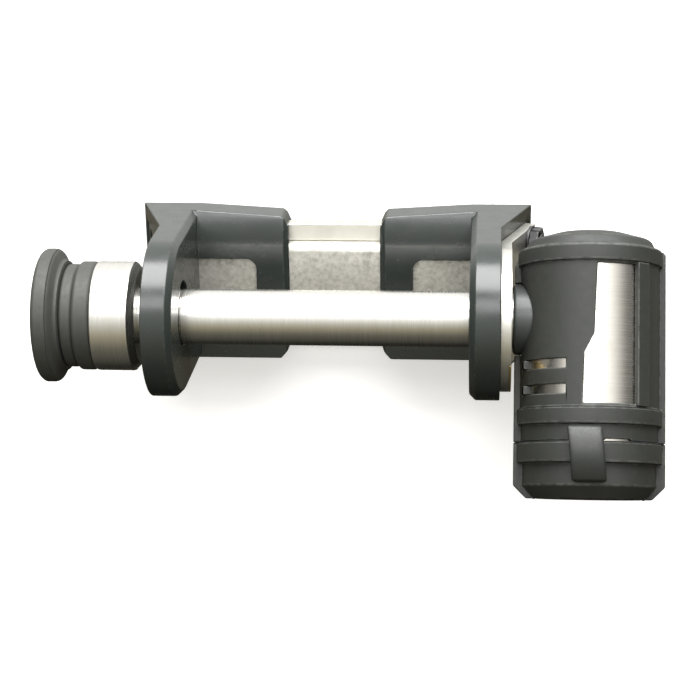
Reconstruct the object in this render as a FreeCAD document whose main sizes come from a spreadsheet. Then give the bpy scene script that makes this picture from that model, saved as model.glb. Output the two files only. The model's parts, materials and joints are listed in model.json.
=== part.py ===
import FreeCAD, Part
import math
import os
import Sketcher

# Trailer coupler lock, millimetres. The lock lies on the flat backs of its two brackets.
# +X runs along the locking pin towards the lock head, +Z points up out of the open side,
# and the origin is on the pin's axis, midway between the two ears.

SIZES = {
    # locking pin and the parts on its left end
    "pin_radius": 7.94, "pin_tip": 84.7, "pin_butt": -78.0, "pin_chamfer": 1.5,
    "groove_radius": 6.1, "groove_half": 4.6, "relief_radius": 7.6, "relief_out": 41.7,
    "collar_left": -65.6, "collar_edge": -54.8, "collar_right": -53.0,
    "collar_radius": 15.65, "collar_nose": 13.6,
    "seal_left": -70.6, "seal_radius": 15.6, "ring_left": -74.4, "ring_radius": 14.8,
    "ring_edge": 0.7,
    "bumper_left": -81.5, "bumper_step": -77.6, "bumper_radius": 19.2, "bumper_edge": 1.4,
    "neck_radius": 15.7,
    # brackets
    "ear_in": 41.0, "ear_out": 49.6, "ear_half": 22.9, "ear_hole": 9.3, "ear_hole_y": 1.0,
    "ear_edge": 1.73,
    "back_plane": -40.5, "block_front": -28.9, "block_in": 13.7, "block_edge": 1.45,
    "block_drop": 1.5, "corner_top": 2.1, "corner_low": 3.4, "corner_in": 3.0,
    "brow_half": 11.2, "brow_back": -31.6, "brow_radius": 24.0,
    "notch_plane": -15.2, "wing_out": 58.5,
    "window_in": 23.5, "window_half": 8.5, "window_corner": 3.0,
    # spine that the brackets slide on
    "face_half": 12.7, "face_front": -30.6, "face_back": -34.0, "face_edge": 2.4,
    "rail_half": 18.2, "rail_back": -38.5, "spine_half": 45.0, "slot_gap": 0.08,
    "line_out": 13.05, "line_deep": 0.5,
    "rivet_radius": 1.5, "rivet_x": 19.0, "rivet_y": 8.6,
    # guard plate and its screws
    "guard_thick": 3.1, "guard_nose": 20.4, "guard_half": 18.6, "guard_end": -35.5,
    "guard_hole": 9.7, "wear_thick": 0.6, "wear_top": -7.0,
    "screw_y": 15.0, "screw_z": -30.9, "screw_radius": 2.0, "screw_depth": 2.8,
    "screw_gap": 0.1, "nut_flat": 3.5, "nut_high": 2.6, "stud_out": 0.5,
    "washer_radius": 4.1, "washer_thick": 0.8,
    # swivel bush
    "bush_left": 53.1, "bush_right": 64.0, "bush_radius": 9.95, "bush_bore": 8.0,
    # lock head, measured from the pin's axis along the barrel
    "head_x": 74.7, "head_tilt": -25.0,
    "shell_radius": 18.3, "shell_low": -36.0, "shell_top": 18.6, "shell_edge": 0.8,
    "tip_room": 11.0, "bush_room": 10.05,
    "jacket_bore": 18.38, "skin_radius": 19.4, "ring_outer": 20.2,
    "ring_chamfer": 0.5, "fin_out": 21.1, "fin_half": 1.7, "fin_shoulder": 14.8, "fin_top": 17.0,
    "fin_shoulder_right": 18.6, "fin_top_right": 19.3, "seam_half": 0.05,
    "recess_radius": 19.1, "jacket_low": -34.6, "low_ring_a": -30.0, "low_ring_b": -25.3,
    "top_ring_a": 14.7, "top_ring_b": 19.5, "shelf_radius": 18.7, "wall_radius": 17.4,
    "wall_top": 21.7, "dome_base": 22.3, "dome_radius": 16.8, "dome_top": 24.8,
    "jacket_roof": 18.7,
    "pane_left": 1.2, "pane_elbow": 0.4, "pane_wide": -2.3, "pane_corner": -2.8,
    "pane_right": 11.9, "pane_top": 14.0, "pane_knee": -5.4, "pane_foot": -10.3,
    "pane_low": -24.4, "lip_left": 3.4, "lip_right": 10.5, "lip_high": 0.5,
    "vent_left": -18.9, "vent_right": -7.3, "vent_high": 2.6, "vent_upper": -14.8,
    "vent_lower": -21.8, "boss_hole": 10.35,
    # lock cylinder
    "case_radius": 10.5, "case_top": -19.0, "case_gap": 0.05, "chamber_radius": 7.8,
    "chamber_top": -12.0, "bolt_bore": 4.06,
    "plug_radius": 6.0, "plug_gap": 0.06, "plug_tail": 4.4, "plug_end": -17.5,
    "key_wide": 3.9, "key_thin": 0.9, "key_deep": 13.0,
    "wafer_first": -34.0, "wafer_pitch": 2.6, "wafer_thick": 1.0, "wafer_wide": 5.0,
    "wafer_half": 2.1, "wafer_gap": 0.1,
    "clip_low": -18.95, "clip_high": -18.15, "clip_radius": 7.3, "clip_bore": 4.45,
    "bolt_radius": 4.0, "bolt_low": -17.2, "bolt_step": -15.8, "bolt_top": -8.3,
    "bolt_flange": 5.6, "spring_low": -13.7, "spring_in": 4.4, "spring_out": 5.6,
    "dowel_radius": 1.25, "dowel_y": -28.0, "dowel_in": 9.2, "dowel_out": 18.0,
    # weather cap and its strap
    "cap_rim": -34.7, "cap_step": -40.5, "cap_bevel": -46.7, "cap_low": -50.3,
    "cap_radius": 18.6, "cap_tip": 15.4, "cap_bore": 18.9, "cap_seat": -37.0,
    "cap_hollow": 16.6, "cap_floor": -47.6, "cap_fin_root": 17.6,
    "strap_middle": -1.5, "strap_half": 5.2, "strap_top": -30.5, "strap_low": -46.0, "strap_root": 19.45,
    "strap_face": 20.9, "strap_foot": 18.75, "strap_heel": 20.3,
    "strap_inner": 15.0, "strap_outer": 13.0,
}

CUT_LENGTH = 400.0
WAFERS = 4
RIVETS = ((1, 1), (1, -1), (-1, 1), (-1, -1))
PLANES = {"XY": "XY_Plane", "XZ": "XZ_Plane", "YZ": "YZ_Plane"}


class Size:
    """A length: its number now, and the expression that keeps it tied to the sheet."""

    def __init__(self, text, value):
        self.text = text
        self.value = value

    def __add__(self, other):
        other = as_size(other)
        return Size("(" + self.text + " + " + other.text + ")", self.value + other.value)

    def __sub__(self, other):
        return self + (-as_size(other))

    def __neg__(self):
        return Size("(0 - " + self.text + ")", -self.value)

    def __mul__(self, factor):
        return Size("(" + self.text + " * " + repr(factor) + ")", self.value * factor)


def as_size(thing):
    if isinstance(thing, Size):
        return thing
    return Size("(" + repr(thing) + ")", float(thing))


def at(alias):
    """The sheet's size of this name."""
    return Size("Sizes." + alias, SIZES[alias])


doc = FreeCAD.newDocument("coupler_lock")
sheet = doc.addObject("Spreadsheet::Sheet", "Sizes")
for row, (alias, number) in enumerate(SIZES.items(), start=1):
    cell = "B" + str(row)
    sheet.set("A" + str(row), alias)
    sheet.set(cell, str(number))
    sheet.setAlias(cell, alias)
doc.recompute()

PARTS = []


def finish(piece, label):
    """Name a finished sub-part and put it on the list that is written out."""
    piece.Label = label
    PARTS.append(piece)
    return piece


def seat_on_head(piece):
    """Swing a part modelled upright about the pin's axis, and move it along to the barrel."""
    piece.Placement = FreeCAD.Placement(
        FreeCAD.Vector(SIZES["head_x"], 0, 0),
        FreeCAD.Rotation(FreeCAD.Vector(1, 0, 0), SIZES["head_tilt"]),
    )
    piece.setExpression("Placement.Base.x", at("head_x").text)


def new_body(label):
    body = doc.addObject("PartDesign::Body", "Body_" + label)
    return finish(body, label)


def new_sketch(body, plane, height=0):
    """A sketch on one of the body's own origin planes, lifted off it by height."""
    sketch = body.newObject("Sketcher::SketchObject", "Sketch")
    for feature in body.Origin.OriginFeatures:
        if feature.Role == PLANES[plane]:
            sketch.AttachmentSupport = [(feature, "")]
    sketch.MapMode = "FlatFace"
    lift = as_size(height)
    sketch.AttachmentOffset = FreeCAD.Placement(FreeCAD.Vector(0, 0, lift.value), FreeCAD.Rotation())
    sketch.setExpression("AttachmentOffset.Base.z", lift.text)
    return sketch


def hold(sketch, kind, edge, point, size):
    """Tie one coordinate of a sketch point to a size."""
    if abs(size.value) < 1e-9:
        axis = -2 if kind == "DistanceX" else -1
        sketch.addConstraint(Sketcher.Constraint("PointOnObject", edge, point, axis))
        return
    index = sketch.addConstraint(Sketcher.Constraint(kind, -1, 1, edge, point, size.value))
    sketch.setExpression("Constraints[" + str(index) + "]", size.text)


def arc_between(start, end, radius, side):
    """An arc between two points, on the left (side 1) or right (side -1) of the way there."""
    chord = end - start
    half = chord.Length / 2
    left = FreeCAD.Vector(-chord.y, chord.x, 0)
    left.normalize()
    centre = start + chord * 0.5 - left * (side * math.sqrt(radius * radius - half * half))
    first, last = (end, start) if side > 0 else (start, end)
    turn_in = math.atan2(first.y - centre.y, first.x - centre.x)
    turn_out = math.atan2(last.y - centre.y, last.x - centre.x)
    whole = Part.Circle(centre, FreeCAD.Vector(0, 0, 1), radius)
    return Part.ArcOfCircle(whole, turn_in, turn_out)


def outline(sketch, corners, arcs=None):
    """Draw a closed outline; arcs maps a side's number to its radius and bulge."""
    arcs = arcs or {}
    corners = [(as_size(u), as_size(v)) for u, v in corners]
    points = [FreeCAD.Vector(u.value, v.value, 0) for u, v in corners]
    first = sketch.GeometryCount
    count = len(points)
    for side in range(count):
        start = points[side]
        end = points[(side + 1) % count]
        if side in arcs:
            radius, bulge = arcs[side]
            sketch.addGeometry(arc_between(start, end, radius.value, bulge), False)
        else:
            sketch.addGeometry(Part.LineSegment(start, end), False)
    ends = []
    for side in range(count):
        edge = sketch.Geometry[first + side]
        at_start = edge.StartPoint.distanceToPoint(points[side]) < 1e-6
        ends.append((1, 2) if at_start else (2, 1))
    for side in range(count):
        after = (side + 1) % count
        pair = (first + side, ends[side][1], first + after, ends[after][0])
        sketch.addConstraint(Sketcher.Constraint("Coincident", *pair))
    for side, (u, v) in enumerate(corners):
        hold(sketch, "DistanceX", first + side, ends[side][0], u)
        hold(sketch, "DistanceY", first + side, ends[side][0], v)
    for side, (radius, _) in arcs.items():
        index = sketch.addConstraint(Sketcher.Constraint("Radius", first + side, radius.value))
        sketch.setExpression("Constraints[" + str(index) + "]", radius.text)
    return sketch


def circle(sketch, u, v, radius):
    """Draw a circle about (u, v)."""
    u, v, radius = as_size(u), as_size(v), as_size(radius)
    centre = FreeCAD.Vector(u.value, v.value, 0)
    edge = sketch.addGeometry(Part.Circle(centre, FreeCAD.Vector(0, 0, 1), radius.value), False)
    hold(sketch, "DistanceX", edge, 3, u)
    hold(sketch, "DistanceY", edge, 3, v)
    index = sketch.addConstraint(Sketcher.Constraint("Radius", edge, radius.value))
    sketch.setExpression("Constraints[" + str(index) + "]", radius.text)
    return sketch


def box_outline(sketch, low, high):
    """Draw a rectangle between two corners."""
    (u0, v0), (u1, v1) = low, high
    return outline(sketch, [(u0, v0), (u1, v0), (u1, v1), (u0, v1)])


def extrude(body, kind, sketch, length, midplane=False):
    feature = body.newObject("PartDesign::" + kind, kind)
    feature.Profile = sketch
    feature.Midplane = midplane
    length = as_size(length)
    feature.Length = length.value
    feature.setExpression("Length", length.text)
    sketch.Visibility = False
    return feature


def pad(body, sketch, length, midplane=False):
    return extrude(body, "Pad", sketch, length, midplane)


def cut(body, sketch, length=CUT_LENGTH):
    """Cut the sketch's shape out, half the length to each side of its plane."""
    doc.recompute()
    before = body.Shape.Volume
    feature = extrude(body, "Pocket", sketch, length, True)
    doc.recompute()
    if not body.Shape.Volume < before:
        raise RuntimeError("a cut in " + body.Label + " removes nothing")
    return feature


def spin(body, sketch, axis):
    """Turn the sketch's shape round its own H_Axis or V_Axis."""
    feature = body.newObject("PartDesign::Revolution", "Revolution")
    feature.Profile = sketch
    feature.ReferenceAxis = (sketch, [axis])
    feature.Angle = 360.0
    sketch.Visibility = False
    return feature


def dress(body, kind, amount, test):
    """Chamfer or fillet every edge of the body that passes the test."""
    doc.recompute()
    base = body.Tip
    names = []
    for number, edge in enumerate(base.Shape.Edges, start=1):
        if test(edge):
            names.append("Edge" + str(number))
    if not names:
        raise RuntimeError("no edge to dress on " + body.Label)
    feature = body.newObject("PartDesign::" + kind, kind)
    feature.Base = (base, names)
    size_name = "Size" if kind == "Chamfer" else "Radius"
    setattr(feature, size_name, amount.value)
    feature.setExpression(size_name, amount.text)
    doc.recompute()
    return feature


def near(number, size):
    return abs(number - size.value) < 1e-4


def ordered(side, first, second):
    """The two sizes along X on one side of the lock, lower one first."""
    return (first, second) if side > 0 else (-second, -first)


# ---------------------------------------------------------------- brackets and spine


def wing_axis(side):
    """The wing's outward normal, and the point of its slanted face where the screw goes in."""
    run = SIZES["wing_out"] - SIZES["ear_out"]
    depth = SIZES["notch_plane"] - SIZES["back_plane"]
    length = math.hypot(run, depth)
    normal = FreeCAD.Vector(side * depth / length, 0, run / length)
    share = (SIZES["notch_plane"] - SIZES["screw_z"]) / depth
    seat = FreeCAD.Vector(side * (SIZES["ear_out"] + run * share), 0, SIZES["screw_z"])
    return normal, seat


def wing_cylinder(side, radius, start, length, height):
    """A round solid square to the wing, from start above its face, at this height along Y."""
    normal, seat = wing_axis(side)
    foot = seat + normal * start + FreeCAD.Vector(0, height, 0)
    return Part.makeCylinder(radius, length, foot, normal)


def trim_block(body, side):
    """Taper the block's upper edge in plan, and cut off both corners of its inner end."""
    half, inner = at("ear_half"), at("block_in")
    beyond = (inner - 5) * side
    shoulder = half - at("block_drop")
    corner = at("corner_top")
    sketch = new_sketch(body, "XY")
    outline(sketch, [
        (at("ear_in") * side, half), ((inner + corner) * side, shoulder),
        (inner * side, shoulder - corner), (beyond, shoulder - corner), (beyond, half + 5)])
    cut(body, sketch)
    sketch = new_sketch(body, "XY")
    outline(sketch, [
        ((inner + at("corner_in")) * side, -half), (inner * side, at("corner_low") - half),
        (beyond, at("corner_low") - half), (beyond, -half - 5)])
    cut(body, sketch)


def bracket(label, side):
    """A cast bracket: ear with the pin hole, slotted block for the spine, slanted wing."""
    body = new_body(label)
    ear_a, ear_b = ordered(side, at("ear_in"), at("ear_out"))
    block_a, block_b = ordered(side, at("block_in"), at("ear_out"))
    half = at("ear_half")

    sketch = new_sketch(body, "YZ", ear_a)
    box_outline(sketch, (-half, at("back_plane")), (half, 0))
    pad(body, sketch, ear_b - ear_a)
    sketch = new_sketch(body, "YZ", ear_a)
    circle(sketch, 0, 0, half)
    pad(body, sketch, ear_b - ear_a)
    dress(
        body, "Chamfer", at("ear_edge"),
        lambda edge: all(near(abs(corner.X), at("ear_in")) for corner in edge.Vertexes)
        and edge.CenterOfMass.z > SIZES["back_plane"] + 1,
    )

    sketch = new_sketch(body, "YZ", block_a)
    outline(
        sketch,
        [(-half, at("back_plane")), (half, at("back_plane")), (half, at("brow_back")),
         (at("brow_half"), at("block_front")), (-half, at("block_front"))],
        {2: (at("brow_radius"), -1)},
    )
    pad(body, sketch, block_b - block_a)
    trim_block(body, side)
    dress(
        body, "Chamfer", at("block_edge"),
        lambda edge: all(near(abs(corner.X), at("block_in")) for corner in edge.Vertexes)
        and edge.CenterOfMass.z > SIZES["back_plane"] + 1,
    )

    sketch = new_sketch(body, "XZ")
    outline(
        sketch,
        [(at("ear_out") * side, at("notch_plane")), (at("wing_out") * side, at("back_plane")),
         (at("ear_out") * side, at("back_plane"))],
    )
    pad(body, sketch, half * 2, True)

    sketch = new_sketch(body, "YZ")
    cut(body, circle(sketch, at("ear_hole_y"), 0, at("ear_hole")))
    gap = at("slot_gap")
    wide = at("rail_half") + gap
    narrow = at("face_half") + gap
    step, floor, roof = at("face_back") + gap, at("rail_back") - gap, at("face_front") + gap
    sketch = new_sketch(body, "YZ")
    outline(sketch, [
        (-wide, floor), (wide, floor), (wide, step), (narrow, step), (narrow, roof),
        (-narrow, roof), (-narrow, step), (-wide, step)])
    cut(body, sketch)

    far, tall, round_off = at("window_in"), at("window_half"), at("window_corner")
    sketch = new_sketch(body, "XY", at("face_front"))
    outline(
        sketch,
        [(at("ear_in") * side, -tall), ((far + round_off) * side, -tall),
         (far * side, round_off - tall), (far * side, tall - round_off),
         ((far + round_off) * side, tall), (at("ear_in") * side, tall)],
        {1: (round_off, side), 3: (round_off, side)},
    )
    cut(body, sketch, 5)
    return body


def drilled(body, side, label):
    """The bracket with its two screw holes, square to the slanted wing."""
    body.Label = label + "_casting"
    PARTS.remove(body)
    doc.recompute()
    shape = body.Shape
    radius = SIZES["screw_radius"] + SIZES["screw_gap"]
    depth = SIZES["screw_depth"] + 0.1
    for height in (SIZES["screw_y"], -SIZES["screw_y"]):
        shape = shape.cut(wing_cylinder(side, radius, -depth, depth + 2, height))
    piece = doc.addObject("Part::Feature", "Feature_" + label)
    piece.Shape = shape
    return finish(piece, label)


def feature(label, shape):
    """A sub-part whose shape is worked out above."""
    piece = doc.addObject("Part::Feature", "Feature_" + label)
    piece.Shape = shape
    return finish(piece, label)


def spine_face():
    """Plated face plate, seen through the brackets' windows and between the blocks."""
    body = new_body("spine_face_plate")
    half = at("spine_half")
    sketch = new_sketch(body, "YZ", -half)
    wide = at("face_half")
    box_outline(sketch, (-wide, at("face_back")), (wide, at("face_front")))
    pad(body, sketch, half * 2)
    dress(
        body, "Fillet", at("face_edge"),
        lambda edge: near(edge.CenterOfMass.z, at("face_front"))
        and near(abs(edge.CenterOfMass.y), wide),
    )
    return rivet_holes(body)


def spine_rail():
    """Stainless rail behind the face plate, with a fine line rolled in beside each edge of it."""
    body = new_body("spine_rail")
    half = at("spine_half")
    sketch = new_sketch(body, "YZ", -half)
    wide, line, plate = at("rail_half"), at("line_out"), at("face_half")
    back, front = at("rail_back"), at("face_back")
    bottom = front - at("line_deep")
    outline(sketch, [
        (-wide, back), (wide, back), (wide, front), (line, front), (line, bottom), (plate, bottom),
        (plate, front), (-plate, front), (-plate, bottom), (-line, bottom), (-line, front),
        (-wide, front)])
    pad(body, sketch, half * 2)
    return rivet_holes(body)


def rivet_holes(body):
    sketch = new_sketch(body, "XY")
    for along, across in RIVETS:
        circle(sketch, at("rivet_x") * along, at("rivet_y") * across, at("rivet_radius"))
    cut(body, sketch)
    return body


def spine_rivets():
    """Four flush rivets, as one group of separate solids."""
    length = SIZES["face_front"] - SIZES["rail_back"]
    solids = []
    for along, across in RIVETS:
        foot = FreeCAD.Vector(
            along * SIZES["rivet_x"], across * SIZES["rivet_y"], SIZES["rail_back"])
        solids.append(Part.makeCylinder(SIZES["rivet_radius"], length, foot))
    return feature("spine_rivets", Part.makeCompound(solids))


# ---------------------------------------------------------------- guard plate


def guard_points():
    """The guard plate's section in X and Z: inner bend, inner end, outer end, outer bend."""
    normal, _ = wing_axis(1)
    thick = SIZES["guard_thick"]
    slope = math.atan2(normal.z, normal.x)
    bend_in = (SIZES["ear_out"], SIZES["notch_plane"])
    drop = bend_in[1] - SIZES["guard_end"]
    end_in = (bend_in[0] + drop * math.tan(slope), SIZES["guard_end"])
    end_out = (end_in[0] + thick * normal.x, end_in[1] + thick * normal.z)
    bend_out = (SIZES["ear_out"] + thick, bend_in[1] + thick * math.tan(slope / 2))
    return bend_in, end_in, end_out, bend_out


def guard_plate():
    """Bent stainless plate against the right ear, round nose about the pin, with its liner."""
    bend_in, end_in, end_out, bend_out = guard_points()
    left, right, nose = SIZES["ear_out"], bend_out[0], SIZES["guard_nose"]
    section = [(left, nose), bend_in, end_in, end_out, bend_out, (right, nose)]
    points = [FreeCAD.Vector(x, -nose, z) for x, z in section]
    face = Part.Face(Part.makePolygon(points + points[:1]))
    strip = face.extrude(FreeCAD.Vector(0, 2 * nose, 0))
    width = right + 12 - left
    disc = Part.makeCylinder(nose, width, FreeCAD.Vector(left, 0, 0), FreeCAD.Vector(1, 0, 0))
    half, end = SIZES["guard_half"], SIZES["guard_end"]
    tail = Part.makeBox(width, 2 * half, -end + 1, FreeCAD.Vector(left, -half, end - 1))
    shape = strip.common(disc.fuse(tail))
    along = FreeCAD.Vector(1, 0, 0)
    hole = Part.makeCylinder(SIZES["guard_hole"], width, FreeCAD.Vector(left - 1, 0, 0), along)
    shape = shape.cut(hole)
    radius = SIZES["screw_radius"] + SIZES["screw_gap"]
    for height in (SIZES["screw_y"], -SIZES["screw_y"]):
        shape = shape.cut(wing_cylinder(1, radius, -1, SIZES["guard_thick"] + 3, height))
    liner = wear_shape()
    feature("guard_plate", shape.cut(liner))
    feature("brass_wear_plate", liner)


def wear_shape():
    """Thin liner let into the lower half of the guard plate's outer face."""
    thick = SIZES["wear_thick"]
    start = SIZES["ear_out"] + SIZES["guard_thick"] - thick
    along = FreeCAD.Vector(1, 0, 0)
    nose = SIZES["guard_nose"]
    disc = Part.makeCylinder(nose, thick, FreeCAD.Vector(start, 0, 0), along)
    keep = Part.makeBox(
        thick, nose, 2 * nose, FreeCAD.Vector(start, SIZES["wear_top"] - nose, -12))
    hole = Part.makeCylinder(SIZES["guard_hole"], thick, FreeCAD.Vector(start, 0, 0), along)
    return disc.common(keep).cut(hole)


def hexagon(side, flat, start, length, height):
    """A hexagon nut's blank, square to the wing, two flats level."""
    normal, seat = wing_axis(side)
    across = FreeCAD.Vector(0, 1, 0).cross(normal)
    centre = seat + normal * start + FreeCAD.Vector(0, height, 0)
    corner = flat / math.cos(math.pi / 6)
    points = []
    for step in range(6):
        turn = math.radians(60 * step)
        points.append(
            centre + across * (corner * math.cos(turn))
            + FreeCAD.Vector(0, corner * math.sin(turn), 0))
    face = Part.Face(Part.makePolygon(points + points[:1]))
    return face.extrude(normal * length)


def guard_hardware():
    """Studs screwed into the right wing, with washers and hexagon nuts outside the plate."""
    thick, washer = SIZES["guard_thick"], SIZES["washer_thick"]
    stud, high = SIZES["screw_radius"], SIZES["nut_high"]
    studs, washers, nuts = [], [], []
    for height in (SIZES["screw_y"], -SIZES["screw_y"]):
        total = SIZES["screw_depth"] + thick + washer + high + SIZES["stud_out"]
        studs.append(wing_cylinder(1, stud, -SIZES["screw_depth"], total, height))
        ring = wing_cylinder(1, SIZES["washer_radius"], thick, washer, height)
        washers.append(ring.cut(wing_cylinder(1, stud, thick - 1, washer + 2, height)))
        blank = hexagon(1, SIZES["nut_flat"], thick + washer, high, height)
        cone = wing_cylinder(1, SIZES["washer_radius"] - 0.1, thick + washer, high, height)
        blank = blank.common(cone)
        nuts.append(blank.cut(wing_cylinder(1, stud, thick, high + 4, height)))
    feature("guard_studs", Part.makeCompound(studs))
    feature("guard_washers", Part.makeCompound(washers))
    feature("guard_nuts", Part.makeCompound(nuts))


def blanking_screws():
    """Socket set screws that close the same two holes in the left wing."""
    solids = []
    deep = SIZES["screw_depth"]
    for height in (SIZES["screw_y"], -SIZES["screw_y"]):
        shank = wing_cylinder(-1, SIZES["screw_radius"], -deep, deep - 0.5, height)
        socket = hexagon(-1, SIZES["screw_radius"] * 0.5, -deep + 0.8, deep, height)
        solids.append(shank.cut(socket))
    feature("left_set_screws", Part.makeCompound(solids))


# ---------------------------------------------------------------- pin


def turned(label, profile, axis="H_Axis"):
    """A turned part: profile of (along, radius) about X, or (radius, along) about Y."""
    body = new_body(label)
    sketch = new_sketch(body, "XY")
    spin(body, outline(sketch, profile), axis)
    return body


def lock_pin():
    """Stainless locking pin: relief rings in both ears, and a groove for the latch bolt."""
    pin, cut_in = at("pin_radius"), at("groove_radius")
    edge, centre = at("pin_chamfer"), at("head_x")
    low, high = centre - at("groove_half"), centre + at("groove_half")
    near_end, far_end, relief = at("ear_in"), at("relief_out"), at("relief_radius")
    return turned("lock_pin", [
        (at("pin_butt"), 0), (at("pin_butt"), pin - edge), (at("pin_butt") + edge, pin),
        (-far_end, pin), (-far_end, relief), (-near_end, relief), (-near_end, pin),
        (near_end, pin), (near_end, relief), (far_end, relief), (far_end, pin),
        (low, pin), (low, cut_in), (high, cut_in), (high, pin),
        (at("pin_tip") - edge, pin), (at("pin_tip"), pin - edge), (at("pin_tip"), 0)])


def pin_collar():
    pin, rim = at("pin_radius"), at("collar_radius")
    return turned("pin_collar", [
        (at("collar_left"), pin), (at("collar_left"), rim - 0.4), (at("collar_left") + 0.4, rim),
        (at("collar_edge"), rim), (at("collar_right"), at("collar_nose")),
        (at("collar_right"), pin)])


def rubber_ring(label, left, right, rim):
    """A rubber ring round the pin with both outer corners broken."""
    edge, pin = at("ring_edge"), at("pin_radius")
    return turned(label, [
        (left, pin), (left, rim - edge), (left + edge, rim), (right - edge, rim),
        (right, rim - edge), (right, pin)])


def bumper_cap():
    """Rubber bumper pushed over the pin's butt end."""
    rim, edge, pin = at("bumper_radius"), at("bumper_edge"), at("pin_radius")
    left, step = at("bumper_left"), at("bumper_step")
    neck, right = at("neck_radius"), at("ring_left")
    return turned("bumper_cap", [
        (left, 0), (left, rim - edge), (left + edge * 0.4, rim - edge * 0.3), (left + edge, rim),
        (step, rim), (step + 0.9, rim - 0.5), (step + 1.4, neck + 1.9), (step + 2.0, neck + 0.6),
        (step + 2.6, neck), (right, neck), (right, pin), (at("pin_butt"), pin),
        (at("pin_butt"), 0)])


# ---------------------------------------------------------------- lock head


def swivel_bush():
    """Black bush that the head turns on; it slides on the pin with the head."""
    body = turned("swivel_bush", [
        (at("bush_left"), at("bush_bore")), (at("bush_left"), at("bush_radius") - 0.6),
        (at("bush_left") + 0.6, at("bush_radius")), (at("bush_right"), at("bush_radius")),
        (at("bush_right"), at("bush_bore"))])
    return body


def bore_from_left(body, radius, right):
    """Bore a hole along X from the left side of the head as far as right."""
    sketch = new_sketch(body, "YZ", right - 50)
    cut(body, circle(sketch, 0, 0, radius), 100)


def lock_shell():
    """Stainless barrel with the pin bore, the bush seat and the cylinder bore."""
    rim, edge = at("shell_radius"), at("shell_edge")
    low, top = at("shell_low"), at("shell_top")
    case = at("case_radius") + at("case_gap")
    body = turned("lock_shell", [
        (0, at("chamber_top")), (at("chamber_radius"), at("chamber_top")),
        (at("chamber_radius"), at("case_top")), (case, at("case_top")), (case, low),
        (rim - edge, low), (rim, low + edge), (rim, top - edge), (rim - edge, top), (0, top)],
        "V_Axis")
    bore_from_left(body, at("pin_radius") + 0.07, at("tip_room"))
    bore_from_left(body, at("bush_room"), at("bush_right") - at("head_x") + 0.1)
    sketch = new_sketch(body, "XZ", at("chamber_top") * -0.5)
    circle(sketch, 0, 0, at("bolt_bore"))
    cut(body, sketch, 13)
    sketch = new_sketch(body, "XY")
    circle(sketch, 0, at("dowel_y"), at("dowel_radius"))
    extrude(body, "Pocket", sketch, CUT_LENGTH)
    seat_on_head(body)
    return body


def jacket_profile():
    """Outside and inside of the moulded jacket as (radius, along) corners."""
    ring, skin, slope = at("ring_outer"), at("skin_radius"), at("ring_chamfer")
    return [
        (at("jacket_bore"), at("jacket_low")), (at("recess_radius"), at("jacket_low")),
        (at("recess_radius"), at("low_ring_a")), (ring - 0.3, at("low_ring_a")),
        (ring, at("low_ring_a") + 0.3), (ring, at("low_ring_b") - 0.3),
        (ring - 0.3, at("low_ring_b")), (skin, at("low_ring_b")),
        (skin, at("top_ring_a")), (ring - 0.3, at("top_ring_a")),
        (ring, at("top_ring_a") + 0.3), (ring, at("top_ring_b") - slope),
        (ring - slope, at("top_ring_b")), (at("shelf_radius"), at("top_ring_b")),
        (at("shelf_radius") - 0.4, at("top_ring_b") + 0.4), (at("wall_radius"), at("wall_top")),
        (at("dome_radius"), at("dome_base")), (at("dome_radius") * 0.6, at("dome_top") - 0.5),
        (0, at("dome_top")),
        (0, at("jacket_roof")), (at("jacket_bore"), at("jacket_roof"))]


def jacket_fin(body, side):
    """The flat flange at the side of the jacket; the left one ends low, clear of the guard."""
    inner = (at("jacket_bore") + 0.3) * side
    outer = at("fin_out") * side
    shoulder = at("fin_shoulder_right") if side > 0 else at("fin_shoulder")
    top = at("fin_top_right") if side > 0 else at("fin_top")
    sketch = new_sketch(body, "XY")
    outline(sketch, [
        (inner, at("jacket_low")), (outer, at("jacket_low")), (outer, shoulder),
        (at("ring_outer") * side, top), (inner, top)])
    pad(body, sketch, at("fin_half") * 2, True)


def jacket_half(label, front):
    """One half of the jacket: front is 1 for the side with the window, -1 for the rear."""
    body = turned(label, jacket_profile(), "V_Axis")
    for side in (1, -1):
        jacket_fin(body, side)
    sketch = new_sketch(body, "YZ")
    edge = at("seam_half") * front
    reach = -40.0 * front
    cut(body, box_outline(sketch, (-60, reach), (60, edge)))
    bore_from_left(body, at("boss_hole"), as_size(0))
    if front > 0:
        sketch = new_sketch(body, "XY", 20)
        outline(sketch, [
            (at("pane_left"), at("pane_top")), (at("pane_elbow"), at("pane_knee")),
            (at("pane_wide"), at("pane_foot")), (at("pane_corner"), at("pane_low")),
            (at("pane_right"), at("pane_low")), (at("pane_right"), at("pane_top"))])
        cut(body, sketch, 36)
        sketch = new_sketch(body, "XY", 20)
        low = at("jacket_low")
        box_outline(sketch, (at("lip_left"), low - 1), (at("lip_right"), low + at("lip_high")))
        cut(body, sketch, 36)
        for low in (at("vent_upper"), at("vent_lower")):
            sketch = new_sketch(body, "XY", 20)
            box_outline(sketch, (at("vent_left"), low), (at("vent_right"), low + at("vent_high")))
            cut(body, sketch, 36)
    seat_on_head(body)
    return body


def cylinder_case():
    """Brass case of the key cylinder."""
    bore = at("plug_radius") + at("plug_gap")
    body = turned("cylinder_case", [
        (bore, at("shell_low")), (at("case_radius") - 0.4, at("shell_low")),
        (at("case_radius"), at("shell_low") + 0.4), (at("case_radius"), at("case_top")),
        (bore, at("case_top"))], "V_Axis")
    doc.recompute()
    sketch = new_sketch(body, "XY")
    circle(sketch, 0, at("dowel_y"), at("dowel_radius"))
    extrude(body, "Pocket", sketch, CUT_LENGTH)
    seat_on_head(body)
    return body


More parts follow.
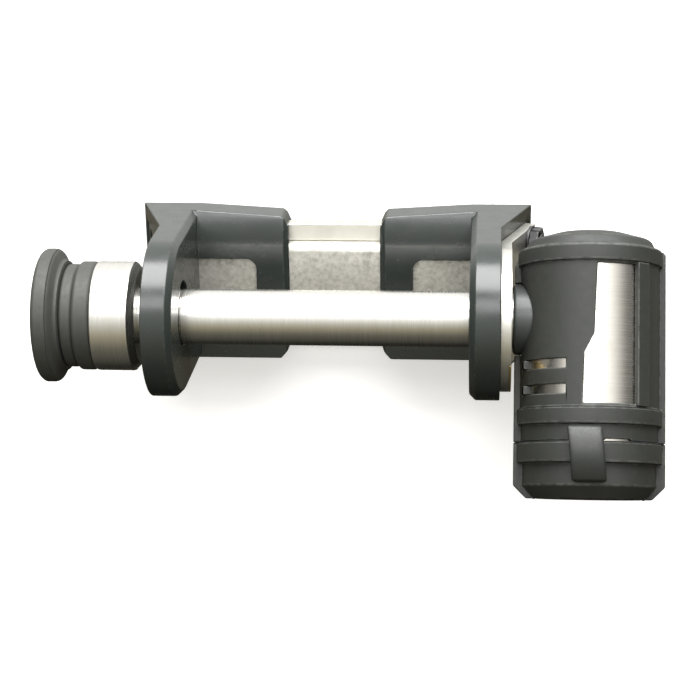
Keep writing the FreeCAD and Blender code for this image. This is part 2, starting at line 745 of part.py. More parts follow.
def case_dowel():
    """Cross pin, behind, that keeps the case in the shell."""
    length = SIZES["dowel_out"] - SIZES["dowel_in"]
    foot = FreeCAD.Vector(0, SIZES["dowel_y"], -SIZES["dowel_out"])
    piece = feature("case_dowel", Part.makeCylinder(SIZES["dowel_radius"], length, foot))
    seat_on_head(piece)
    return piece


def key_plug():
    """Plug that the key turns, with its keyway and wafer slots."""
    low, top = at("shell_low"), at("case_top")
    body = turned("key_plug", [
        (0, low), (at("plug_radius") - 0.3, low), (at("plug_radius"), low + 0.3),
        (at("plug_radius"), top), (at("plug_tail"), top), (at("plug_tail"), at("plug_end")),
        (0, at("plug_end"))], "V_Axis")
    sketch = new_sketch(body, "XZ", -low)
    wide, thin = at("key_wide"), at("key_thin")
    cut(body, box_outline(sketch, (-wide, -thin), (wide, thin)), at("key_deep") * 2)
    sketch = new_sketch(body, "XY")
    gap = at("wafer_gap")
    for number in range(WAFERS):
        low = at("wafer_first") + at("wafer_pitch") * number
        reach = at("wafer_wide") + gap
        box_outline(sketch, (-reach, low - gap), (reach, low + at("wafer_thick") + gap))
    cut(body, sketch, (at("wafer_half") + gap) * 2)
    seat_on_head(body)
    return body


def plug_wafers():
    """Flat tumblers in the plug's slots, each with a window for the key."""
    wide, half, thick = SIZES["wafer_wide"], SIZES["wafer_half"], SIZES["wafer_thick"]
    key_wide, key_thin = SIZES["key_wide"] + 0.1, SIZES["key_thin"] + 0.1
    solids = []
    for number in range(WAFERS):
        low = SIZES["wafer_first"] + SIZES["wafer_pitch"] * number
        plate = Part.makeBox(2 * wide, thick, 2 * half, FreeCAD.Vector(-wide, low, -half))
        slot = Part.makeBox(
            2 * key_wide, thick + 2, 2 * key_thin, FreeCAD.Vector(-key_wide, low - 1, -key_thin))
        solids.append(plate.cut(slot))
    piece = feature("plug_wafers", Part.makeCompound(solids))
    seat_on_head(piece)
    return piece


def plug_clip():
    """Ring on the plug's tail that keeps the plug in its case."""
    body = turned("plug_clip", [
        (at("clip_bore"), at("clip_low")), (at("clip_radius"), at("clip_low")),
        (at("clip_radius"), at("clip_high")), (at("clip_bore"), at("clip_high"))], "V_Axis")
    seat_on_head(body)
    return body


def latch_bolt():
    """Bolt that the plug throws up into the pin's groove."""
    body = turned("latch_bolt", [
        (0, at("bolt_low")), (at("bolt_flange"), at("bolt_low")),
        (at("bolt_flange"), at("bolt_step")), (at("bolt_radius"), at("bolt_step")),
        (at("bolt_radius"), at("bolt_top") - 0.5), (at("bolt_radius") - 0.5, at("bolt_top")),
        (0, at("bolt_top"))], "V_Axis")
    seat_on_head(body)
    return body


def bolt_spring():
    """Return spring round the bolt, drawn at its closed length."""
    body = turned("bolt_spring", [
        (at("spring_in"), at("spring_low")), (at("spring_out"), at("spring_low")),
        (at("spring_out"), at("chamber_top")), (at("spring_in"), at("chamber_top"))], "V_Axis")
    seat_on_head(body)
    return body


def weather_cap():
    """Rubber cap over the keyway, with the lower ends of the side fins."""
    ring = at("ring_outer")
    body = turned("weather_cap", [
        (at("cap_bore"), at("cap_rim")), (ring - 0.3, at("cap_rim")), (ring, at("cap_rim") - 0.3),
        (ring, at("cap_step") + 0.3), (ring - 0.3, at("cap_step")),
        (at("cap_radius"), at("cap_step")), (at("cap_radius"), at("cap_bevel")),
        (at("cap_tip"), at("cap_low")), (0, at("cap_low")), (0, at("cap_floor")),
        (at("cap_hollow"), at("cap_floor")), (at("cap_hollow"), at("cap_seat")),
        (at("cap_bore"), at("cap_seat"))], "V_Axis")
    for side in (1, -1):
        inner = at("cap_bore") * side
        outer = at("fin_out") * side
        sketch = new_sketch(body, "XY")
        root = at("cap_fin_root") * side
        step = at("cap_seat") - 0.5
        outline(sketch, [
            (inner, at("cap_rim")), (outer, at("cap_rim")), (outer, at("cap_bevel")),
            ((at("fin_out") - at("cap_bevel") + at("cap_low")) * side, at("cap_low")),
            (at("cap_tip") * side, at("cap_low")), (root, at("cap_bevel")), (root, step),
            (inner, step)])
        pad(body, sketch, at("fin_half") * 2, True)
    seat_on_head(body)
    return body


def cap_strap():
    """Rubber strap that arches from the jacket over the cap's ring."""
    body = new_body("cap_strap")
    sketch = new_sketch(body, "YZ", at("strap_middle"))
    outline(
        sketch,
        [(at("strap_top"), at("strap_root")), (at("strap_low"), at("strap_foot")),
         (at("strap_low"), at("strap_heel")), (at("strap_top"), at("strap_face"))],
        {0: (at("strap_inner"), -1), 2: (at("strap_outer"), 1)},
    )
    pad(body, sketch, at("strap_half") * 2, True)
    seat_on_head(body)
    return body


def build():
    for label, side in (("left_bracket", -1), ("right_bracket", 1)):
        drilled(bracket(label + "_body", side), side, label)
    spine_face()
    spine_rail()
    spine_rivets()
    guard_plate()
    guard_hardware()
    blanking_screws()
    lock_pin()
    pin_collar()
    rubber_ring("bumper_seal", at("seal_left"), at("collar_left"), at("seal_radius"))
    rubber_ring("bumper_ring", at("ring_left"), at("seal_left"), at("ring_radius"))
    bumper_cap()
    swivel_bush()
    lock_shell()
    jacket_half("jacket_front", 1)
    jacket_half("jacket_rear", -1)
    cylinder_case()
    case_dowel()
    key_plug()
    plug_wafers()
    plug_clip()
    latch_bolt()
    bolt_spring()
    weather_cap()
    cap_strap()


def check():
    """Stop if any object failed, or if a sub-part has no sound shape."""
    doc.recompute()
    for thing in doc.Objects:
        if "Invalid" in thing.State or "Error" in thing.State:
            raise RuntimeError(thing.Label + " failed: " + str(thing.State))
    for piece in PARTS:
        if piece.Shape.isNull() or not piece.Shape.isValid():
            raise RuntimeError(piece.Label + " has no valid shape")


def write():
    os.makedirs("parts", exist_ok=True)
    for piece in PARTS:
        piece.Shape.exportStep("parts/" + piece.Label + ".step")
        box = piece.Shape.BoundBox
        print(piece.Label, len(piece.Shape.Solids), "solids", round(piece.Shape.Volume), "mm3",
              [round(number, 1) for number in (box.XMin, box.XMax, box.YMin, box.YMax,
                                               box.ZMin, box.ZMax)])


build()
check()
write()
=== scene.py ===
"""Looks of the trailer coupler lock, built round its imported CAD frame.

All places are in metres in the row frame. +X runs along the pin toward the lock head, +Z away from
the floor, and the backs of the two brackets lie on the floor.
"""

import json
import math

import bmesh
import bpy
from mathutils import Matrix, Vector
from mathutils.bvhtree import BVHTree

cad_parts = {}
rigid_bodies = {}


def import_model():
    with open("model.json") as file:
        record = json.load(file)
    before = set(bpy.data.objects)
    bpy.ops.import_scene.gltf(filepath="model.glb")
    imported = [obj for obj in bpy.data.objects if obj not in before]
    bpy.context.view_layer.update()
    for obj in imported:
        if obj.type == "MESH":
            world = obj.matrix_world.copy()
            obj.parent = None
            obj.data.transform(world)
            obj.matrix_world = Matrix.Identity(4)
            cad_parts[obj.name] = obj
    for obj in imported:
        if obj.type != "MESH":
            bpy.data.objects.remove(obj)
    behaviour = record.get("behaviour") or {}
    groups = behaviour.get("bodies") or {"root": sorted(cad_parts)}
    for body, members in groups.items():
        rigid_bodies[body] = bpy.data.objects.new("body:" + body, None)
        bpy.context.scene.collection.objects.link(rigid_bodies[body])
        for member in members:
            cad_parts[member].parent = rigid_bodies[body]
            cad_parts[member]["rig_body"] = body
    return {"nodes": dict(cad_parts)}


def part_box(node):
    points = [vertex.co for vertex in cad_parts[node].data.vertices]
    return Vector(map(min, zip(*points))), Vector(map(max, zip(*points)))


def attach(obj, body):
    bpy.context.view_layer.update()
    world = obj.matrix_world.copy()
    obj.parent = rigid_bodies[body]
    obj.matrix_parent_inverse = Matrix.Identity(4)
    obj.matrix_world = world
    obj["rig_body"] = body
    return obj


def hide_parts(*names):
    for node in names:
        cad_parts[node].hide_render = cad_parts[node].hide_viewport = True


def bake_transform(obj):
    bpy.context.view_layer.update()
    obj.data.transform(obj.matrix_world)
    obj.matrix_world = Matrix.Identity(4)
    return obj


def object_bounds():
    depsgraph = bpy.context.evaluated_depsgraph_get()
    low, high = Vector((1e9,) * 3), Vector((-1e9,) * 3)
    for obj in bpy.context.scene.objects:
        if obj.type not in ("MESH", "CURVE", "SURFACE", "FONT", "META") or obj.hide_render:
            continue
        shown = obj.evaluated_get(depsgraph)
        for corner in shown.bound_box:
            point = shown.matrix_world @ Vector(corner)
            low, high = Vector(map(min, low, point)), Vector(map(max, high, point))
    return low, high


MM = 0.001

# Camera, as a turn of the row frame and a shift of its origin in front of the lens
LENS = 94.96
YAW, PITCH, ROLL = -4.67, 19.56, 0.89
ORIGIN_SEEN = Vector((-6.852, 9.161, -526.675)) * MM

# Turn of the lock head about the pin, degrees
TILT = -25.0

# Copies of the CAD meshes: points that close are one, and flatter than this is one face
WELD, SPECK = 0.05, 0.02
FLAT_ANGLE = 0.5
# How far a rounded corner may leave the CAD surface, as a share of its width
STRAY_SHARE = 0.6
# Part of the bracket's wing with the slot's end and the screw holes, millimetres
MOUTH_FROM_X, MOUTH_HALF_Y, MOUTH_TOP_Z = 50.2, 18.5, -25


class Graph:
    """Adds nodes to one node tree, so that a material reads as a few lines."""

    def __init__(self, tree):
        self.tree = tree
        tree.nodes.clear()

    def put(self, socket, value):
        """Links an output to a socket, or sets the socket's own value."""
        if isinstance(value, bpy.types.NodeSocket):
            self.tree.links.new(value, socket)
        else:
            socket.default_value = value

    def add(self, kind, sockets=(), **settings):
        """Adds a shader node, with its settings and its sockets' values or links."""
        node = self.tree.nodes.new("ShaderNode" + kind)
        for name, value in settings.items():
            setattr(node, name, value)
        for name, value in dict(sockets).items():
            self.put(node.inputs[name], value)
        return node

    def math(self, operation, a, b=0.5):
        """The result of a maths node; one-sided operations leave b alone."""
        return self.add("Math", {0: a, 1: b}, operation=operation).outputs[0]

    def ramp(self, value, stops):
        """Colours along a value: stops are (place, grey or colour)."""
        node = self.add("ValToRGB", {"Fac": value})
        elements = node.color_ramp.elements
        while len(elements) < len(stops):
            elements.new(0.5)
        for element, (place, colour) in zip(elements, stops):
            element.position = place
            grey = isinstance(colour, (int, float))
            element.color = (colour, colour, colour, 1) if grey else (*colour, 1)
        return node.outputs["Color"]

    def mix(self, share, a, b):
        """One colour or grey turning into another, by share."""
        node = self.add("Mix", {"Factor": share}, data_type="RGBA")
        self.put(node.inputs[6], a if isinstance(a, bpy.types.NodeSocket) else (*a, 1))
        self.put(node.inputs[7], b if isinstance(b, bpy.types.NodeSocket) else (*b, 1))
        return node.outputs[2]

    def place(self, size, tilted=False):
        """Position in units of size, (x, y, z) in millimetres, along the head's axes if tilted."""
        where = self.add("TexCoord").outputs["Object"]
        node = self.add("Mapping", {"Vector": where}, vector_type="TEXTURE")
        node.inputs["Scale"].default_value = Vector(size) * MM
        if tilted:
            node.inputs["Location"].default_value = HEAD.translation
            node.inputs["Rotation"].default_value = HEAD.to_euler()
        return node.outputs["Vector"]

    def noise(self, size, detail=2.0, tilted=False):
        """Soft noise whose lumps have that size in millimetres: one number, or one for each axis."""
        sizes = (size, size, size) if isinstance(size, (int, float)) else size
        return self.add("TexNoise", {"Vector": self.place(sizes, tilted), "Scale": 1.0,
                                     "Detail": detail}).outputs["Fac"]

    def cells(self, size, tilted=False):
        """Distance to the nearest of scattered points, for pits and grain."""
        return self.add("TexVoronoi", {"Vector": self.place((size, size, size), tilted),
                                       "Scale": 1.0}).outputs["Distance"]

    def bump(self, height, depth, after=None):
        """A normal that follows height, depth millimetres deep."""
        node = self.add("Bump", {"Height": height, "Strength": 1.0, "Distance": depth * MM})
        if after is not None:
            self.put(node.inputs["Normal"], after)
        return node.outputs["Normal"]

    def edge(self):
        """1 on the rounded edges that soften() cuts, 0 elsewhere."""
        return self.add("Attribute", attribute_name="edge").outputs["Fac"]


def material(name, paint):
    """A node material: paint(graph) returns the shader's sockets."""
    made = bpy.data.materials.new(name)
    made.use_nodes = True
    graph = Graph(made.node_tree)
    shader = graph.add("BsdfPrincipled", paint(graph))
    graph.add("OutputMaterial", {"Surface": shader.outputs["BSDF"]})
    return made


def satin_paint(g):
    tone = g.mix(g.noise(9, 4), (0.0150, 0.0180, 0.0165), (0.0205, 0.0248, 0.0225))
    # Lighter paint on the rounded edges: partly edge wear, partly a painted highlight along the edges.
    lighter_edges = g.math("MULTIPLY", g.edge(), g.ramp(g.noise(1.6, 4), [(0.45, 0.0), (0.75, 0.3)]))
    peel = g.bump(g.noise(0.55, 3), 0.005)
    return {
        "Base Color": g.mix(lighter_edges, tone, (0.060, 0.066, 0.062)),
        "Roughness": g.ramp(g.noise(4, 5), [(0.3, 0.21), (0.7, 0.29)]),
        "Specular IOR Level": 0.5,
        "Normal": g.bump(g.noise(7, 2), 0.015, peel),
    }


def lathe_steel(g):
    lines = g.noise((0.11, 9, 9), 5)
    bands = g.noise((1.4, 22, 22), 3)
    return {
        "Base Color": g.mix(bands, (0.60, 0.585, 0.54), (0.70, 0.69, 0.66)),
        "Metallic": 1.0,
        "Roughness": g.ramp(lines, [(0.3, 0.20), (0.7, 0.34)]),
        "Normal": g.bump(lines, 0.0022),
    }


def plate_steel(g):
    lines = g.noise((5, 5, 0.12), 5)
    return {
        "Base Color": g.mix(g.noise(3, 4), (0.53, 0.52, 0.47), (0.62, 0.61, 0.57)),
        "Metallic": 1.0,
        "Roughness": g.ramp(lines, [(0.3, 0.40), (0.7, 0.54)]),
        "Normal": g.bump(lines, 0.003),
    }


def ground_steel(g):
    lines = g.noise((14, 0.16, 0.16), 5)
    return {
        "Base Color": g.mix(g.noise(2.5, 4), (0.58, 0.57, 0.52), (0.68, 0.67, 0.63)),
        "Metallic": 1.0,
        "Roughness": g.ramp(lines, [(0.3, 0.28), (0.7, 0.46)]),
        "Normal": g.bump(lines, 0.004),
    }


def shell_steel(g):
    lines = g.noise((12, 0.14, 12), 5, True)
    return {
        "Base Color": g.mix(g.noise(5, 3, True), (0.64, 0.60, 0.53), (0.72, 0.70, 0.66)),
        "Metallic": 1.0,
        "Roughness": g.ramp(lines, [(0.3, 0.18), (0.7, 0.30)]),
        "Normal": g.bump(lines, 0.0015),
    }


def tumbled_zinc(g):
    blotch = g.noise(1.3, 6)
    pits = g.cells(0.7)
    tone = g.ramp(blotch, [(0.3, (0.36, 0.35, 0.315)), (0.5, (0.50, 0.49, 0.45)),
                           (0.7, (0.62, 0.61, 0.57))])
    return {
        "Base Color": tone,
        "Metallic": 0.85,
        "Roughness": g.ramp(blotch, [(0.3, 0.62), (0.7, 0.46)]),
        "Normal": g.bump(pits, 0.02, g.bump(blotch, 0.025)),
    }


def black_oxide(g):
    lighter_edges = g.math("MULTIPLY", g.edge(), g.ramp(g.noise(0.8, 3), [(0.4, 0.0), (0.65, 0.8)]))
    return {
        "Base Color": g.mix(lighter_edges, (0.022, 0.022, 0.023), (0.12, 0.12, 0.115)),
        "Metallic": 0.35,
        "Roughness": g.ramp(g.noise(1.5, 4), [(0.3, 0.32), (0.7, 0.48)]),
        "Normal": g.bump(g.noise(0.3, 3), 0.006),
    }


def machined_brass(g):
    lines = g.noise((4, 0.15, 4), 4)
    return {
        "Base Color": g.mix(g.noise(2, 4), (0.62, 0.47, 0.20), (0.78, 0.63, 0.32)),
        "Metallic": 1.0,
        "Roughness": g.ramp(lines, [(0.3, 0.28), (0.7, 0.42)]),
        "Normal": g.bump(lines, 0.003),
    }


def moulded_rubber(g):
    tone = g.mix(g.noise(3, 5), (0.028, 0.029, 0.025), (0.040, 0.041, 0.0355))
    return {
        "Base Color": tone,
        "Roughness": g.ramp(g.noise(1.2, 4), [(0.3, 0.55), (0.7, 0.70)]),
        "Specular IOR Level": 0.4,
        "Normal": g.bump(g.noise(0.22, 4), 0.012),
    }


def strap_rubber(g):
    return {
        "Base Color": g.mix(g.noise(2, 4), (0.012, 0.0132, 0.012), (0.018, 0.0195, 0.0175)),
        "Roughness": g.ramp(g.noise(0.8, 4), [(0.3, 0.36), (0.7, 0.50)]),
        "Specular IOR Level": 0.38,
        "Normal": g.bump(g.noise(0.25, 4), 0.012),
    }


def turned_nylon(g):
    lines = g.noise((9, 0.35, 0.35), 3)
    return {
        "Base Color": g.mix(g.noise(3, 4), (0.021, 0.024, 0.023), (0.030, 0.034, 0.032)),
        "Roughness": g.ramp(lines, [(0.3, 0.36), (0.7, 0.48)]),
        "Normal": g.bump(lines, 0.006),
    }


def jacket_vinyl(g):
    tone = g.mix(g.noise(7, 5, True), (0.0150, 0.0160, 0.0138), (0.0205, 0.0218, 0.0190))
    rubbed = g.math("MULTIPLY", g.edge(), g.ramp(g.noise(2.2, 4), [(0.35, 0.0), (0.7, 0.55)]))
    grain = g.bump(g.cells(0.32, True), 0.010)
    return {
        "Base Color": g.mix(rubbed, tone, (0.085, 0.088, 0.081)),
        "Roughness": g.ramp(g.noise(2.0, 5, True), [(0.3, 0.50), (0.7, 0.62)]),
        "Specular IOR Level": 0.36,
        "Normal": g.bump(g.noise(5, 3, True), 0.05, grain),
    }


def studio_floor(g):
    return {
        "Base Color": g.mix(g.noise(60, 3), (0.80, 0.80, 0.80), (0.83, 0.83, 0.83)),
        "Roughness": 0.8,
        "Emission Color": (1.0, 1.0, 1.0, 1.0),
        "Emission Strength": 0.40,
        "Normal": g.bump(g.noise(2, 3), 0.01),
    }


def copied_mesh(node):
    """A CAD node's mesh as a welded bmesh with its flat faces whole."""
    mesh = bmesh.new()
    mesh.from_mesh(frame["nodes"][node].data)
    bmesh.ops.remove_doubles(mesh, verts=mesh.verts, dist=WELD * MM)
    bmesh.ops.dissolve_degenerate(mesh, edges=mesh.edges, dist=SPECK * MM)
    bmesh.ops.dissolve_limit(mesh, angle_limit=math.radians(FLAT_ANGLE), verts=mesh.verts,
                             edges=mesh.edges)
    return mesh


def in_slot_mouth(edge):
    """True for the thin walls round the slot's end and the screw holes in a bracket's wing."""
    start, end = edge.verts
    middle = (start.co + end.co) / 2 / MM
    return (abs(middle.x) > MOUTH_FROM_X and abs(middle.y) < MOUTH_HALF_Y
            and middle.z < MOUTH_TOP_Z)


def round_edges(mesh, width, sharper_than, segments, skip=None):
    """Rounds the edges that turn by more than an angle, and marks the new faces as edges.

    Corners that the rounding throws off the surface are put back on it.
    """
    before = BVHTree.FromBMesh(mesh)
    mark = mesh.faces.layers.float.new("edge")
    sharp = [edge for edge in mesh.edges
             if edge.is_manifold and edge.calc_face_angle() > math.radians(sharper_than)
             and not (skip and skip(edge))]
    cut = bmesh.ops.bevel(mesh, geom=sharp, offset=width * MM, segments=segments, profile=0.5,
                          affect="EDGES", clamp_overlap=False)
    for face in cut["faces"]:
        face[mark] = 1.0
    for vert in mesh.verts:
        place, _, _, gap = before.find_nearest(vert.co)
        if gap > width * MM * STRAY_SHARE:
            vert.co = place


def finished(name, mesh, finish):
    """Turns a bmesh into a smooth-shaded piece with its material."""
    data = bpy.data.meshes.new(name)
    mesh.to_mesh(data)
    mesh.free()
    data.shade_smooth()
    data.materials.append(finish)
    piece = bpy.data.objects.new(name, data)
    bpy.context.scene.collection.objects.link(piece)
    even = piece.modifiers.new("even_normals", "WEIGHTED_NORMAL")
    even.keep_sharp = True
    return piece


def soften(node, name, width, finish, sharper_than=28, segments=2, skip=None):
    """A piece with the CAD node's shape and rounded edges, which stands for the node."""
    source = frame["nodes"][node]
    mesh = copied_mesh(node)
    round_edges(mesh, width, sharper_than, segments, skip)
    piece = finished(name, mesh, finish)
    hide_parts(node)
    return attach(piece, source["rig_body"])


def dress(node, finish):
    """Gives a CAD node that stays as it is its material."""
    for slot in frame["nodes"][node].material_slots:
        slot.material = finish


def add_camera():
    """The camera, placed by how the row frame sits in front of it."""
    turn = (Matrix.Rotation(math.radians(ROLL), 4, "Z")
            @ Matrix.Rotation(math.radians(PITCH), 4, "X")
            @ Matrix.Rotation(math.radians(YAW), 4, "Y"))
    data = bpy.data.cameras.new("camera")
    data.lens = LENS
    data.clip_start = 0.01
    camera = bpy.data.objects.new("camera", data)
    bpy.context.scene.collection.objects.link(camera)
    camera.matrix_world = (Matrix.Translation(ORIGIN_SEEN) @ turn).inverted()
    bpy.context.scene.camera = camera


def add_panel(name, azimuth, height, distance, size, power):
    """A soft square light, azimuth degrees round from +X and height degrees above the floor."""
    data = bpy.data.lights.new(name, "AREA")
    data.shape = "RECTANGLE"
    data.size, data.size_y = size
    data.energy = power
    lamp = bpy.data.objects.new(name, data)
    bpy.context.scene.collection.objects.link(lamp)
    a, h = math.radians(azimuth), math.radians(height)
    toward = Vector((math.cos(a) * math.cos(h), math.sin(a) * math.cos(h), math.sin(h)))
    lamp.location = toward * distance
    lamp.rotation_euler = toward.to_track_quat("Z", "Y").to_euler()


def add_sky():
    """Pale over the top and the +Y side, darker toward -Y, the two ends and below the floor."""
    world = bpy.data.worlds.new("studio")
    world.use_nodes = True
    bpy.context.scene.world = world
    g = Graph(world.node_tree)
    direction = g.add("TexCoord").outputs["Generated"]
    centre = math.radians(88)
    up = g.add("VectorMath", {0: direction, 1: (0, math.sin(centre), math.cos(centre))},
               operation="DOT_PRODUCT").outputs["Value"]
    level = g.add("MapRange", {"Value": up, "From Min": -1.0, "From Max": 1.0}).outputs["Result"]
    tone = g.ramp(level, [(0.0, (0.065, 0.063, 0.052)), (0.10, (0.10, 0.096, 0.078)),
                          (0.32, (0.31, 0.28, 0.20)), (0.48, (0.50, 0.49, 0.44)),
                          (0.66, (0.92, 0.92, 0.90)), (1.0, (1.0, 1.0, 1.0))])
    ends = g.math("ABSOLUTE", g.add("SeparateXYZ", {0: direction}).outputs["X"])
    sides = g.ramp(ends, [(0.60, 1.0), (0.90, 0.16)])
    behind = g.add("VectorMath", {0: direction, 1: (0, -0.707, -0.707)},
                   operation="DOT_PRODUCT").outputs["Value"]
    hidden = g.ramp(behind, [(0.50, 1.0), (0.72, 0.72), (0.90, 0.2), (1.0, 0.12)])
    shade = g.add("Mix", {"Factor": 1.0, 6: tone, 7: sides}, data_type="RGBA", blend_type="MULTIPLY")
    shade = g.add("Mix", {"Factor": 1.0, 6: shade.outputs[2], 7: hidden}, data_type="RGBA",
                  blend_type="MULTIPLY")
    background = g.add("Background", {"Color": shade.outputs[2], "Strength": 1.45})
    g.add("OutputWorld", {"Surface": background.outputs["Background"]})


FLOOR_HALF = 2.5


def add_floor(finish):
    """Pale paper under the brackets' backs, left out of reflections and of bounced light."""
    mesh = bmesh.new()
    bmesh.ops.create_grid(mesh, x_segments=2, y_segments=2, size=FLOOR_HALF)
    data = bpy.data.meshes.new("floor")
    mesh.to_mesh(data)
    mesh.free()
    data.materials.append(finish)
    floor = bpy.data.objects.new("floor", data)
    floor.location.z = cad_box[0][2]
    floor.visible_glossy = False
    floor.visible_diffuse = False
    floor.visible_shadow = False
    bpy.context.scene.collection.objects.link(floor)


def head_mesh(name, points, faces, finish):
    """A piece from points in the head's own axes, in millimetres: across, up the barrel, outward."""
    mesh = bmesh.new()
    corners = [mesh.verts.new(HEAD @ (Vector(point) * MM)) for point in points]
    for face in faces:
        mesh.faces.new([corners[i] for i in face])
    bmesh.ops.recalc_face_normals(mesh, faces=mesh.faces)
    return finished(name, mesh, finish)


def ring_faces(rings, around):
    """Faces of a closed tube of rings, with a cap at each end."""
    faces = []
    for r in range(rings - 1):
        for k in range(around):
            n = (k + 1) % around
            faces.append((r * around + k, r * around + n, (r + 1) * around + n, (r + 1) * around + k))
    faces.append(tuple(range(around)))
    last = (rings - 1) * around
    faces.append(tuple(range(last, last + around)))
    return faces


# The strap, millimetres in the head's axes: its ends, height off the barrel, width and swell
STRAP_TOP, STRAP_LOW = -30.6, -45.9
STRAP_ROOT, STRAP_FOOT = 20.2, 19.55
STRAP_ARCH = 2.25
STRAP_HALF, STRAP_FLARE = 4.65, 0.1
STRAP_LEAN = (-2.3, -0.85)
STRAP_THICK = 1.45
STRAP_TUCK, STRAP_TUCK_IN, STRAP_TIP_SHARE = 0.8, 0.7, 0.35
STRAP_CROWN = 0.30
STRAP_STEPS, STRAP_AROUND = 40, 32


def strap_section(share):
    """Half width, thickness and centre height of the strap at a share of its way down."""
    end = min(share, 1 - share) * (STRAP_TOP - STRAP_LOW)
    tuck = math.sqrt(max(0.0, 1 - (1 - min(end / STRAP_TUCK, 1)) ** 2))
    half = STRAP_HALF + STRAP_FLARE * share - STRAP_TUCK_IN * (1 - tuck)
    thick = STRAP_THICK * (STRAP_TIP_SHARE + (1 - STRAP_TIP_SHARE) * tuck)
    root = STRAP_ROOT + (STRAP_FOOT - STRAP_ROOT) * share
    return half, thick, root + STRAP_ARCH * math.sin(math.pi * share) ** 0.85


def add_strap(finish):
    """Rubber strap from the jacket over the cap's ring, arched and crowned across its width."""
    points = []
    for step in range(STRAP_STEPS + 1):
        share = step / STRAP_STEPS
        half, thick, centre = strap_section(share)
        along = STRAP_TOP + (STRAP_LOW - STRAP_TOP) * share
        middle = STRAP_LEAN[0] + (STRAP_LEAN[1] - STRAP_LEAN[0]) * share
        for k in range(STRAP_AROUND):
            angle = 2 * math.pi * k / STRAP_AROUND
            across = math.copysign(abs(math.cos(angle)) ** 0.35, math.cos(angle))
            depth = math.copysign(abs(math.sin(angle)) ** 0.6, math.sin(angle))
            crown = STRAP_CROWN * (1 - across * across)
            points.append((middle + across * half, along, centre + depth * thick / 2 + crown))
    faces = ring_faces(STRAP_STEPS + 1, STRAP_AROUND)
    strap = head_mesh("strap_band", points, faces, finish)
    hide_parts("cap_strap")
    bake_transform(strap)


# The rib beside the window, in degrees round the barrel and millimetres along and out
RIB_FROM, RIB_TO = 38.0, 51.0
RIB_LOW, RIB_HIGH = -25.0, 14.6
RIB_INNER, RIB_OUTER = 18.5, 20.3


def add_rib(finish):
    """Flat-topped rib of the jacket beside the window."""
    mesh = bmesh.new()
    ends = []
    for angle in (RIB_FROM, RIB_TO):
        a = math.radians(angle)
        ends.append((math.sin(a), math.cos(a)))
    section = [(x * radius, z * radius) for (x, z), radius in
               ((ends[0], RIB_INNER), (ends[0], RIB_OUTER), (ends[1], RIB_OUTER), (ends[1], RIB_INNER))]
    low = [mesh.verts.new(HEAD @ (Vector((x, RIB_LOW, z)) * MM)) for x, z in section]
    high = [mesh.verts.new(HEAD @ (Vector((x, RIB_HIGH, z)) * MM)) for x, z in section]
    mesh.faces.new(low)
    mesh.faces.new(high)
    for k in range(4):
        n = (k + 1) % 4
        mesh.faces.new((low[k], low[n], high[n], high[k]))
    bmesh.ops.recalc_face_normals(mesh, faces=mesh.faces)
    round_edges(mesh, 0.35, 28, 3)
    rib = finished("jacket_rib", mesh, finish)
    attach(rib, "lock_head")


# Tabs at the vents, millimetres across, outward and up the barrel
TAB_FROM, TAB_TO = -18.6, -16.4
TAB_BACK, TAB_FRONT = 5.5, 7.9
TAB_LOW = (-14.7, -21.7)
TAB_HIGH = 2.4


def add_tabs(finish):
    """Grey tabs of the rear jacket that show at the left ends of the two vents."""
    mesh = bmesh.new()
    for low in TAB_LOW:
        middle = ((TAB_FROM + TAB_TO) / 2, low + TAB_HIGH / 2, (TAB_BACK + TAB_FRONT) / 2)
        size = (TAB_TO - TAB_FROM, TAB_HIGH, TAB_FRONT - TAB_BACK)
        spot = HEAD @ Matrix.Translation(Vector(middle) * MM)
        grown = Matrix.Diagonal((*(Vector(size) * MM), 1))
        bmesh.ops.create_cube(mesh, size=1.0, matrix=spot @ grown)
    round_edges(mesh, 0.3, 28, 2)
    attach(finished("vent_tabs", mesh, finish), "lock_head")


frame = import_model()
cad_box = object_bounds()
shell_low, shell_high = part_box("lock_shell")
barrel = Matrix.Translation(((shell_low.x + shell_high.x) / 2, 0, 0))
HEAD = barrel @ Matrix.Rotation(math.radians(TILT), 4, "X")

bpy.context.scene.view_settings.view_transform = "Standard"
add_camera()
add_sky()
add_panel("key", 88, 10, 1.0, (1.3, 0.75), 38.0)
add_panel("brow_strip", 90, 52, 1.0, (0.9, 0.3), 5.0)
add_floor(material("floor_paper", studio_floor))

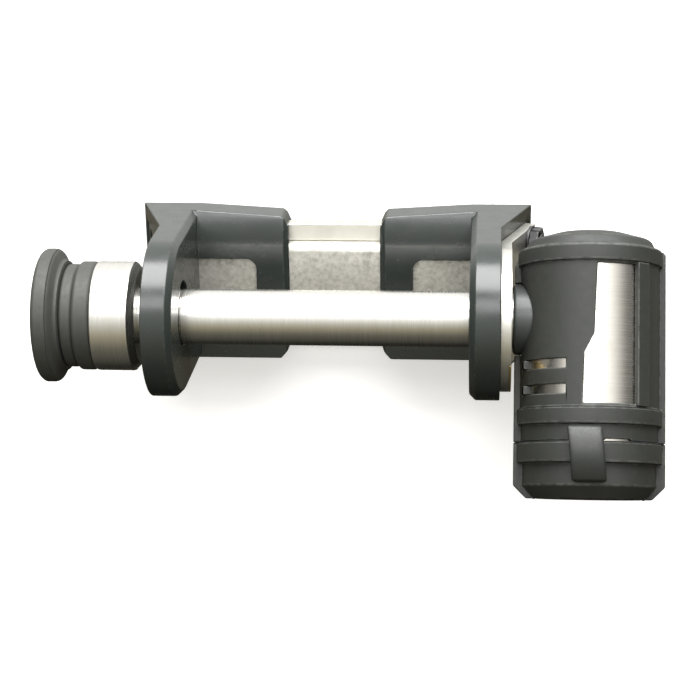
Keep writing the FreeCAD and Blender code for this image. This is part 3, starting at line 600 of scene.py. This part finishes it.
paint = material("bracket_paint_satin", satin_paint)
lathe = material("stainless_turned", lathe_steel)
plate = material("stainless_brushed", plate_steel)
ground = material("stainless_ground", ground_steel)
tube = material("stainless_tube", shell_steel)
zinc = material("zinc_tumbled", tumbled_zinc)
oxide = material("steel_black_oxide", black_oxide)
brass = material("brass_machined", machined_brass)
rubber = material("rubber_moulded", moulded_rubber)
supple = material("rubber_strap", strap_rubber)
nylon = material("nylon_turned", turned_nylon)
vinyl = material("vinyl_jacket", jacket_vinyl)

soften("left_bracket", "bracket_left_cast", 0.35, paint, skip=in_slot_mouth)
soften("right_bracket", "bracket_right_cast", 0.35, paint, skip=in_slot_mouth)
soften("guard_plate", "guard_plate_cut", 0.22, ground)
soften("brass_wear_plate", "brass_liner", 0.12, brass)
soften("guard_nuts", "nuts_hex", 0.28, oxide)
soften("guard_studs", "studs_threaded", 0.2, oxide)
soften("guard_washers", "washers_flat", 0.15, oxide)
soften("left_set_screws", "screws_blanking", 0.2, oxide)
soften("spine_face_plate", "spine_plate_tumbled", 0.2, zinc)
soften("spine_rail", "spine_rail_brushed", 0.25, plate)
soften("spine_rivets", "spine_rivets_set", 0.15, zinc)
soften("lock_pin", "pin_ground", 0.3, lathe)
soften("pin_collar", "collar_turned", 0.25, lathe)
soften("bumper_seal", "bumper_seal_moulded", 0.35, rubber, segments=3)
soften("bumper_ring", "bumper_ring_moulded", 0.3, rubber, segments=3)
soften("bumper_cap", "bumper_cap_moulded", 0.55, rubber, segments=3)
soften("swivel_bush", "bush_turned", 0.4, nylon)
soften("lock_shell", "shell_tube", 0.2, tube)
soften("jacket_front", "jacket_front_moulded", 0.35, vinyl)
soften("jacket_rear", "jacket_rear_moulded", 0.35, vinyl)
soften("weather_cap", "cap_moulded", 0.4, vinyl)

for inner, finish in (("cylinder_case", brass), ("case_dowel", zinc), ("key_plug", brass),
                      ("plug_wafers", brass), ("plug_clip", zinc), ("latch_bolt", zinc),
                      ("bolt_spring", plate)):
    dress(inner, finish)

add_strap(supple)
add_rib(vinyl)
add_tabs(vinyl)
